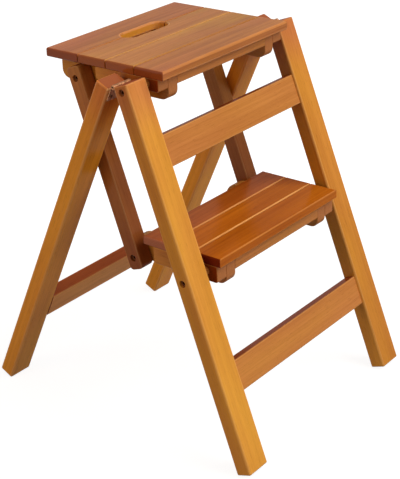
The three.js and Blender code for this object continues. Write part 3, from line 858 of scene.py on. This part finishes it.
# Step
# Three reddish slats on two sawn battens, with the same side blocks and front rail as the seat's.
# The battens run on behind the slats to a round heel, in which the links' lower bolts turn.
step_top = 25.8 * mm
step_underside = step_top - slat_thickness
step_nose = 29.5 * mm
step_depth = 152.2 * mm
step_front_slat_width = 50.6 * mm
step_rear_slat_width = 49.3 * mm
step_half_length = leg_inner - 9 * mm
step_batten_nose = 22.3 * mm
step_heel_radius = 27.3 * mm
step_heel_corner = 12 * mm
step_front_rail_height = 21.3 * mm
step_place = Matrix.Translation(step_pivot)

step_figure = {**slat_figure, "drift": 0.34, "rubbing": 0.9, "sheen": 0.28}
amber_slat = varnished(
    "amber slat wood",
    pale_wood=(0.56, 0.15, 0.010), dark_wood=(0.34, 0.068, 0.004),
    rubbed_wood=(0.92, 0.44, 0.129), end_wood=(0.16, 0.018, 0.004),
    gold=0.25, coat=0.12, **step_figure,
)
rusty_slat = varnished(
    "rusty slat wood",
    pale_wood=(0.47, 0.115, 0.012), dark_wood=(0.27, 0.05, 0.004),
    rubbed_wood=(0.88, 0.405, 0.122), end_wood=(0.46, 0.15, 0.07),
    gold=0.15, coat=0.2, **step_figure,
)

step_rear_wear_and_highlight = 0.3
slat_front = -step_nose
# The step's seams shine with painted highlights on the front arrises of the slats behind them
for number, width, front_wear_and_highlight, finish in (
    (1, step_front_slat_width, 0.25, amber_slat),
    (2, step_rear_slat_width, 1, amber_slat),
    (3, step_rear_slat_width, 0.8, rusty_slat),
):
    lay_slat(
        f"step_slat_{number}", step_half_length, slat_front, slat_front + width, step_underside,
        step_place, "step", finish, front_wear_and_highlight, step_rear_wear_and_highlight, right_stain=0,
    )
    slat_front += width + slat_gap

bottom = step_underside - batten_height
heel = link_arm[0] + step_heel_radius
step_batten = [(step_depth - step_nose, step_underside), (-step_batten_nose, step_underside)]
step_batten += eased_corner(-step_batten_nose, bottom, batten_corner, 180, steps=12)
step_batten += eased_corner(heel, bottom, step_heel_corner, 270, steps=10)
step_batten += arc(link_arm, step_heel_radius, 0, 90, steps=16)
lay_carriers(
    "step", step_place, step_batten, step_batten_nose, step_underside, step_block_height
)
cross_rail = (step_underside, step_front_rail_height, step_place, "step")
lay_cross_rail("step_front_rail", -step_batten_nose, *cross_rail)

# Links
# Two square bars of brown wood with rounded ends, which hang from the seat's battens beside the
# legs and carry the step's rear. They turn on bolts whose heads lie in sinks on the outside.
link_outer = 164 * mm
link_inner = 137 * mm
link_half = 13.5 * mm
link_overhang = 19.5 * mm
link_corner = 7 * mm
link_ease = 1.8 * mm
link_place = (
    Matrix.Translation(pivots["link_turn"])
    @ Matrix.Rotation(-front_lean, 4, "X")
    @ Matrix.Translation((0, 0, -pivot_span))
)

brown_link = varnished(
    "brown link wood",
    pale_wood=(0.54, 0.202, 0.052), dark_wood=(0.35, 0.114, 0.026),
    rubbed_wood=(0.50, 0.24, 0.09), end_wood=(0.26, 0.07, 0.02),
    gold=0.4, rubbing=0.45, **batten_figure,
)

# The links carry painted shade, darker towards their lower ends, which lie in the shade of the
# rear legs and the step
link_painted_shade = 0.55
low = -link_overhang
high = pivot_span + link_overhang
link_outline = []
for x, y, start in (
    (link_half, low, 270), (link_half, high, 0), (-link_half, high, 90), (-link_half, low, 180)
):
    link_outline += eased_corner(x, y, link_corner, start, steps=8)
for side_name, side in sides:
    blank = pulled(link_outline, side * link_outer, side * link_inner, "x")
    cutters = bolt_cutters(side, link_outer, link_inner, (0, 0))
    cutters += bolt_cutters(side, link_outer, link_inner, (0, pivot_span))
    link = worked(f"sawn_link_{side_name}", blank, link_place, link_ease, cutters)
    mark_grain(link, "z")
    spread_over(link, "stain_and_shade", lambda place, normal: link_painted_shade * (1 - place.z / pivot_span))
    fit(link, f"link_{side_name}", "links", brown_link)

# Bolts, nuts, bushes and washers
# Blackened steel socket-head bolts turn in plain holes. A nut holds each on the batten's inner
# side, a wooden bush keeps the leg off the block, and a steel washer the link off the batten.
bolt_radius = 4 * mm
bolt_head_radius = 5.2 * mm
bolt_head_height = 5 * mm
bolt_clearance = 0.3 * mm
socket_radius = 2.9 * mm
socket_depth = 3 * mm
nut_thickness = 6.5 * mm
nut_radius = 7.5 * mm
bolt_tail = batten_inner - bolt_clearance - nut_thickness - 1.5 * mm
bush_radius = 7.5 * mm
washer_radius = 11 * mm
ring_ease = 0.25 * mm


def make_used_metal():
    """Fine scratches and dull patches on metal."""
    tree, given = begin_effect(
        "used metal", ("Bright metal", "Dull metal"), ("Smoothest",), ("Roughness",)
    )
    place = add_node(tree, "ShaderNodeTexCoord").outputs["Object"]
    patch = streaks(tree, place, across=260, along=260, detail=4, low=0.35, high=0.7)
    scratch = streaks(tree, place, across=2400, along=160, detail=2, low=0.45, high=0.7)
    tone = blended(tree, patch, given["Bright metal"], given["Dull metal"])
    patch_roughness, scratch_roughness = 0.22, 0.1
    roughness = reckon(tree, "MULTIPLY_ADD", patch, patch_roughness, given["Smoothest"])
    roughness = reckon(tree, "MULTIPLY_ADD", scratch, scratch_roughness, roughness)
    add_node(tree, "NodeGroupOutput", {"Colour": tone, "Roughness": roughness})
    return tree


used_metal = make_used_metal()

black_steel = dressed(
    "blackened steel", used_metal, {"Metallic": 1},
    bright_metal=(0.20, 0.07, 0.028), dull_metal=(0.11, 0.036, 0.016), smoothest=0.55,
)


def turned(profile, along, centre, steps=40):
    """A turned blank: pairs of a place along the axis and a radius, closed at both ends."""
    work = bmesh.new()
    rings = []
    for far, radius in profile:
        points = circle(centre, radius, steps)
        if along == "x":
            rings.append([work.verts.new((far, a, b)) for a, b in points])
        else:
            rings.append([work.verts.new((a, far, b)) for a, b in points])
    for first, second in zip(rings, rings[1:]):
        close_between(work, first, second)
    work.faces.new(rings[0])
    work.faces.new(rings[-1])
    bmesh.ops.recalc_face_normals(work, faces=work.faces)
    return as_blank(work)


def eased_profile(start, end, radius, edge):
    """A plain cylinder's profile with both of its rims broken."""
    inward = edge if end > start else -edge
    low = radius - edge
    return [(start, low), (start + inward, radius), (end - inward, radius), (end, low)]


def on_side(side, profile):
    return [(side * far, radius) for far, radius in profile]


def add_bolt(node, side, outer, centre, place, body):
    seat = outer - sink_depth + bolt_clearance
    head = seat + bolt_head_height
    break_edge = 0.5 * mm
    profile = (
        (bolt_tail, bolt_radius - break_edge),
        (bolt_tail + break_edge, bolt_radius),
        (seat, bolt_radius),
        (seat, bolt_head_radius),
        (head - break_edge, bolt_head_radius),
        (head, bolt_head_radius - break_edge),
    )
    blank = turned(on_side(side, profile), "x", centre)
    ends = (side * (head + overrun), side * (head - socket_depth))
    socket = pulled(circle(centre, socket_radius, steps=6), *ends, "x")
    bolt = worked(f"turned_{node}", blank, place, cutters=[socket])
    fit(bolt, node, body, black_steel)


def add_nut(node, side, centre, place, body):
    near = batten_inner - bolt_clearance
    far = near - nut_thickness
    blank = pulled(circle(centre, nut_radius, steps=6), side * near, side * far, "x")
    hole = pulled(circle(centre, hole_radius), side * (near + overrun), 0, "x")
    flat = nut_radius * 0.9
    lead = 0.8 * mm
    profile = ((near + overrun, nut_radius + overrun), (far + lead, nut_radius), (far, flat))
    cone = turned(on_side(side, profile), "x", centre)
    nut = worked(f"cut_{node}", blank, place, cutters=[hole], kept_inside=cone)
    fit(nut, node, body, black_steel)


def turn_ring(node, side, radius, outer, inner, centre, place):
    profile = on_side(side, eased_profile(outer, inner, radius, ring_ease))
    hole = through(circle(centre, hole_radius), side, outer, inner)
    return worked(f"turned_{node}", turned(profile, "x", centre), place, cutters=[hole])


for side_name, side in sides:
    for tread, up in (("seat", seat_bolt_up), ("step", step_bolt_up)):
        centre = (bolt_line, up)
        in_leg = (front_frame_place, "front_frame")
        add_bolt(f"{tread}_pivot_bolt_{side_name}", side, leg_outer, centre, *in_leg)
        add_nut(f"{tread}_pivot_nut_{side_name}", side, centre, *in_leg)
        node = f"{tread}_pivot_bush_{side_name}"
        inner = block_outer + bolt_clearance
        bush = turn_ring(node, side, bush_radius, leg_inner, inner, centre, front_frame_place)
        mark_grain(bush, "x")
        fit(bush, node, "front_frame", brown_carrier)
    for tread, tread_place in (("seat", seat_place), ("step", step_place)):
        add_bolt(f"{tread}_link_bolt_{side_name}", side, link_outer, link_arm, tread_place, tread)
        add_nut(f"{tread}_link_nut_{side_name}", side, link_arm, tread_place, tread)
        outer = link_inner - bolt_clearance
        inner = batten_outer + bolt_clearance
        node = f"{tread}_link_washer_{side_name}"
        washer = turn_ring(node, side, washer_radius, outer, inner, link_arm, tread_place)
        fit(washer, node, tread, black_steel)

# Hinges
# A dull brass butt hinge joins each rear leg to its front leg. Its leaves are screwed to the
# facing sides, with the pin between their tops. The front leaf has the middle knuckle and the
# pin, the rear leaf the outer two.
leaf_length = 38 * mm
leaf_drop = 28 * mm
leaf_thickness = 1.8 * mm
leaf_off_wood = 0.3 * mm
knuckle_radius = 3.6 * mm
middle_knuckle = 13.4 * mm
pin_radius = 1.5 * mm
knuckle_gap = 0.3 * mm
screw_radius = 3 * mm
screw_height = 1 * mm
screw_inset = 7 * mm
slot_reach = 1.8 * mm
slot_breadth = 0.35 * mm
knuckle_edge = 0.3 * mm
pin_up_front_leg = 617.84 * mm

dull_brass = dressed(
    "dull brass", used_metal, {"Metallic": 1},
    bright_metal=(0.46, 0.21, 0.10), dull_metal=(0.19, 0.09, 0.04), smoothest=0.45,
)


def merged(parts):
    """Several closed meshes as one."""
    work = bmesh.new()
    for part in parts:
        work.from_mesh(part)
    return as_blank(work)


def add_screw(name, centre, far, outward, place, body):
    """A cross-slotted screw's domed head on a leaf's face, which lies at far in y. The dome's
    shoulder, its crown and the slot's floor are shares of the head's height and radius."""
    shoulder_height, shoulder_radius, crown_radius, slot_height = 0.6, 0.8, 0.35, 0.2
    across, up = centre
    top = far + outward * screw_height
    dome = (
        (far - outward * leaf_thickness / 2, screw_radius),
        (far, screw_radius),
        (far + outward * screw_height * shoulder_height, screw_radius * shoulder_radius),
        (top, screw_radius * crown_radius),
    )
    slot_floor = far + outward * screw_height * slot_height
    arms = []
    for wide, tall in ((slot_reach, slot_breadth), (slot_breadth, slot_reach)):
        slot = rectangle(across - wide, up - tall, across + wide, up + tall)
        arms.append(pulled(slot, slot_floor, top + outward * overrun, "y"))
    screw = worked(name, turned(dome, "y", centre, steps=24), place, cutters=arms)
    screw.data.materials.append(black_steel)
    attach(screw, body)


def add_leaf(node, side, place, body, face, outward, pin_up, knuckles, with_pin):
    """A plate with its knuckles around the pin. outward, +1 or -1, is the way it faces in y."""
    middle = side * leg_middle
    half = leaf_length / 2
    pin = (outward * pin_stand_off, pin_up)
    plate_top = pin_up - knuckle_radius - 2 * knuckle_gap
    far = face + outward * leaf_thickness
    plate = rectangle(middle - half, pin_up - leaf_drop, middle + half, plate_top)
    parts = [pulled(plate, face, far, "y")]
    for start, end in knuckles:
        tab = rectangle(middle + start, plate_top, middle + end, pin_up)
        parts.append(pulled(tab, face, far, "y"))
        barrel = eased_profile(middle + start, middle + end, knuckle_radius, knuckle_edge)
        parts.append(turned(barrel, "x", pin))
    if with_pin:
        parts.append(turned(((middle - half, pin_radius), (middle + half, pin_radius)), "x", pin))
    leaf = worked(f"rolled_{node}", merged(parts), place)
    fit(leaf, node, body, dull_brass)
    low = pin_up - leaf_drop + screw_inset
    high = low + leaf_drop / 2 - screw_radius
    holes = ((screw_inset - half, low), (half - screw_inset, low), (0, high))
    for number, (across, up) in enumerate(holes, 1):
        add_screw(f"screw_{node}_{number}", (middle + across, up), far, outward, place, body)


half_middle = middle_knuckle / 2
outer_start = half_middle + knuckle_gap
outer_knuckles = ((-leaf_length / 2, -outer_start), (outer_start, leaf_length / 2))
for side_name, side in sides:
    add_leaf(
        f"hinge_leaf_front_{side_name}", side, front_frame_place, "front_frame",
        leaf_off_wood, 1, pin_up_front_leg, ((-half_middle, half_middle),), with_pin=True,
    )
    add_leaf(
        f"hinge_leaf_rear_{side_name}", side, rear_frame_place, "rear_frame",
        -leaf_off_wood, -1, pin_up_rear_leg, outer_knuckles, with_pin=False,
    )

# Floor, backdrop and light
# A plain pale studio floor under a white surround, both seen as white. A broad soft lamp stands
# high in front, a weaker one low in front, and a third behind on the left, so that the front
# faces are bright and the left sides lie in half shade.
floor_half = 6.0
floor_mesh = bpy.data.meshes.new("studio floor")
corners = rectangle(-floor_half, -floor_half, floor_half, floor_half)
floor_mesh.from_pydata([(x, y, 0) for x, y in corners], [], [(0, 1, 2, 3)])
floor = in_scene("studio_floor", floor_mesh)


def only_seen(tree):
    """1 where the camera sees, straight, in a mirror or through glass, and 0 for light."""
    rays = add_node(tree, "ShaderNodeLightPath").outputs
    seen = reckon(tree, "MAXIMUM", rays["Is Camera Ray"], rays["Is Glossy Ray"])
    return reckon(tree, "MAXIMUM", seen, rays["Is Transmission Ray"])


# Around the stool the floor's glow is a little weaker, so that its soft shadow shows
white = (1, 1, 1, 1)
floor_finish = bpy.data.materials.new("pale floor")
tree = emptied(floor_finish)
place = add_node(tree, "ShaderNodeTexCoord").outputs["Object"]
from_stool = vector_sum(tree, "LENGTH", place)["Value"]
paling = stretched(tree, from_stool, low=0.35, high=0.9, least=0.9)
strength = reckon(tree, "MULTIPLY", only_seen(tree), paling)
floor_surface = add_node(tree, "ShaderNodeBsdfDiffuse", {"Color": (0.25, 0.25, 0.25, 1)})
floor_glow = add_node(tree, "ShaderNodeEmission", {"Color": white, "Strength": strength})
both = {0: floor_surface.outputs[0], 1: floor_glow.outputs[0]}
floor_sum = add_node(tree, "ShaderNodeAddShader", both)
add_node(tree, "ShaderNodeOutputMaterial", {"Surface": floor_sum.outputs[0]})
floor_mesh.materials.append(floor_finish)

ambient = 0.28
warm = (1, 0.9, 0.8, 1)
surround = bpy.data.worlds.new("white surround")
bpy.context.scene.world = surround
tree = emptied(surround)
seen = only_seen(tree)
glow = {
    "Color": blended(tree, seen, warm, white),
    "Strength": reckon(tree, "MULTIPLY_ADD", seen, 1 - ambient, ambient),
}
world_glow = add_node(tree, "ShaderNodeBackground", glow)
add_node(tree, "ShaderNodeOutputWorld", {"Surface": world_glow.outputs[0]})

for name, place, aim, size, power, tint in (
    ("broad front lamp", (1.2, -2.4, 3.26), (0, 0, 0.3), 3.0, 118, (1, 1, 1)),
    ("low front lamp", (0.6, -3.4, 0.8), (0, 0, 0.4), 2.2, 22, (1, 1, 1)),
    ("left lamp", (-3.2, 0.9, 1.7), (0, 0, 0.3), 1.8, 30, (1, 0.8, 0.62)),
):
    lamp_data = bpy.data.lights.new(name, "AREA")
    lamp_data.shape = "SQUARE"
    lamp_data.size = size
    lamp_data.energy = power
    lamp_data.color = tint
    lamp = in_scene(name, lamp_data)
    lamp.location = place
    lamp.rotation_euler = (Vector(aim) - Vector(place)).to_track_quat("-Z", "Y").to_euler()

bpy.context.scene.view_settings.view_transform = "Standard"
